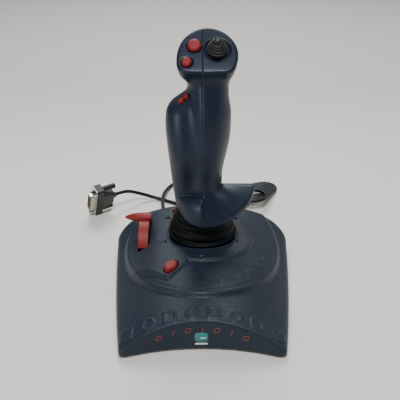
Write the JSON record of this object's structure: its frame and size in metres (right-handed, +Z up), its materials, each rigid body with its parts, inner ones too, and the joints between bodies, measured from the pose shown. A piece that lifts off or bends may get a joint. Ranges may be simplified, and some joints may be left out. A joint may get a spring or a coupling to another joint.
{
  "type": "flight joystick",
  "caption": "Desktop flight joystick with an arched base, a gimballed moulded grip, a throttle lever, push buttons, a hat switch and a corded games-port plug.",
  "frame": {"origin": "on the desk, at the middle of the base's footprint without its cord", "axes": "+Z up, -Y towards the user, +X to the user's right"},
  "size_m": [0.2304, 0.3325, 0.2434],
  "materials": {
    "cover_plastic": "fine leather grain, dark slate blue",
    "grip_plastic": "satin, fine grain, dark slate blue",
    "plate_plastic": "satin",
    "red_plastic": "satin",
    "boot_rubber": "matt",
    "feet_rubber": "matt",
    "cord_black": "satin",
    "hat_black": "matt",
    "plug_black": "satin, ribbed",
    "chip_black": "moulded",
    "circuit_board": "green solder mask",
    "steel": "bright zinc",
    "pin_gold": "bright"
  },
  "bodies": {
    "base": {"base_top_cover": "cover_plastic", "base_bottom_plate": "plate_plastic", "rubber_feet": "feet_rubber", "base_screws": "steel", "main_board": "circuit_board", "board_screws": "steel", "controller_chip": "chip_black", "base_switches": "chip_black", "boot": "boot_rubber", "boot_retaining_ring": "cover_plastic", "gimbal_housing": "plate_plastic", "roll_potentiometer": "chip_black", "throttle_potentiometer": "chip_black", "roll_spring": "steel", "throttle_bracket": "plate_plastic", "plug_shell": "steel", "plug_insert": "chip_black", "plug_pins": "pin_gold", "plug_hood": "plug_black", "strain_relief": "cord_black", "cord_base_run": "cord_black", "cord_plug_run": "cord_black", "cord_hank": "cord_black"},
    "gimbal_ring": {"gimbal_ring": "plate_plastic", "roll_pins": "steel", "pitch_potentiometer": "chip_black", "pitch_spring": "steel"},
    "stick": {"stick_hub": "plate_plastic", "stick_shaft": "steel", "pitch_pin": "steel", "grip_lead": "cord_black", "left_grip_shell": "grip_plastic", "right_grip_shell": "grip_plastic", "grip_screws": "steel", "head_board": "circuit_board", "head_switches": "chip_black", "hat_housing": "plate_plastic", "trigger_pin": "steel", "trigger_switch": "chip_black"},
    "throttle": {"throttle_lever": "red_plastic", "throttle_shaft": "steel"},
    "base_button_front": {"base_button_front": "red_plastic"},
    "base_button_rear": {"base_button_rear": "red_plastic"},
    "head_button_large": {"head_button_large": "red_plastic"},
    "head_button_small": {"head_button_small": "red_plastic"},
    "side_button_upper": {"side_button_upper": "red_plastic"},
    "side_button_lower": {"side_button_lower": "red_plastic"},
    "trigger": {"trigger": "red_plastic"},
    "hat_cross": {"hat_ring": "plate_plastic"},
    "hat": {"hat_stem": "hat_black", "hat_cap": "hat_black"},
    "thumbscrew_upper": {"thumbscrew_upper": "plug_black"},
    "thumbscrew_lower": {"thumbscrew_lower": "plug_black"}
  },
  "joints": [
    {"name": "stick_roll", "type": "hinge", "parent": "base", "child": "gimbal_ring", "pos_m": [0, 0.0335, 0.026], "axis": [0, 1, 0], "range_deg": [-18, 18], "stiffness_Nm_per_rad": 1.6, "deforming": ["boot", "roll_spring"]},
    {"name": "stick_pitch", "type": "hinge", "parent": "gimbal_ring", "child": "stick", "pos_m": [0, 0.0335, 0.026], "axis": [1, 0, 0], "range_deg": [-18, 18], "stiffness_Nm_per_rad": 1.6, "deforming": ["boot", "pitch_spring"]},
    {"name": "throttle_turn", "type": "hinge", "parent": "base", "child": "throttle", "pos_m": [-0.0589, 0.0475, 0.02], "axis": [1, 0, 0], "range_deg": [-3, 48]},
    {"name": "base_button_front_press", "type": "slide", "parent": "base", "child": "base_button_front", "axis": [0, 0, -1], "range_m": [0, 0.0015], "stiffness_N_per_m": 400, "springref_m": -0.0004},
    {"name": "base_button_rear_press", "type": "slide", "parent": "base", "child": "base_button_rear", "axis": [0, 0, -1], "range_m": [0, 0.0015], "stiffness_N_per_m": 400, "springref_m": -0.0004},
    {"name": "head_button_large_press", "type": "slide", "parent": "stick", "child": "head_button_large", "axis": [0, 0.6157, -0.788], "range_m": [0, 0.0012], "stiffness_N_per_m": 400, "springref_m": -0.0004},
    {"name": "head_button_small_press", "type": "slide", "parent": "stick", "child": "head_button_small", "axis": [0, 0.6157, -0.788], "range_m": [0, 0.0012], "stiffness_N_per_m": 400, "springref_m": -0.0004},
    {"name": "side_button_upper_press", "type": "slide", "parent": "stick", "child": "side_button_upper", "axis": [0.5514, 0.4511, -0.7018], "range_m": [0, 0.0008], "stiffness_N_per_m": 400, "springref_m": -0.0004},
    {"name": "side_button_lower_press", "type": "slide", "parent": "stick", "child": "side_button_lower", "axis": [0.5514, 0.4511, -0.7018], "range_m": [0, 0.0008], "stiffness_N_per_m": 400, "springref_m": -0.0004},
    {"name": "trigger_pull", "type": "hinge", "parent": "stick", "child": "trigger", "pos_m": [0, 0.0445, 0.186], "axis": [-1, 0, 0], "range_deg": [0, 7], "stiffness_Nm_per_rad": 0.15, "springref_deg": -2.86},
    {"name": "hat_up_down", "type": "hinge", "parent": "stick", "child": "hat_cross", "pos_m": [0.0126, 0.03285, 0.22332], "axis": [1, 0, 0], "range_deg": [-8, 8], "stiffness_Nm_per_rad": 0.03},
    {"name": "hat_left_right", "type": "hinge", "parent": "hat_cross", "child": "hat", "pos_m": [0.0126, 0.03285, 0.22332], "axis": [0, 0.788, 0.6157], "range_deg": [-8, 8], "stiffness_Nm_per_rad": 0.03},
    {"name": "thumbscrew_upper_turn", "type": "hinge", "parent": "base", "child": "thumbscrew_upper", "pos_m": [-0.12323, 0.13549, 0.03626], "axis": [0.8249, 0.5647, 0.025], "continuous": true},
    {"name": "thumbscrew_lower_turn", "type": "hinge", "parent": "base", "child": "thumbscrew_lower", "pos_m": [-0.12957, 0.14611, 0.00534], "axis": [0.8249, 0.5647, 0.025], "continuous": true}
  ]
}
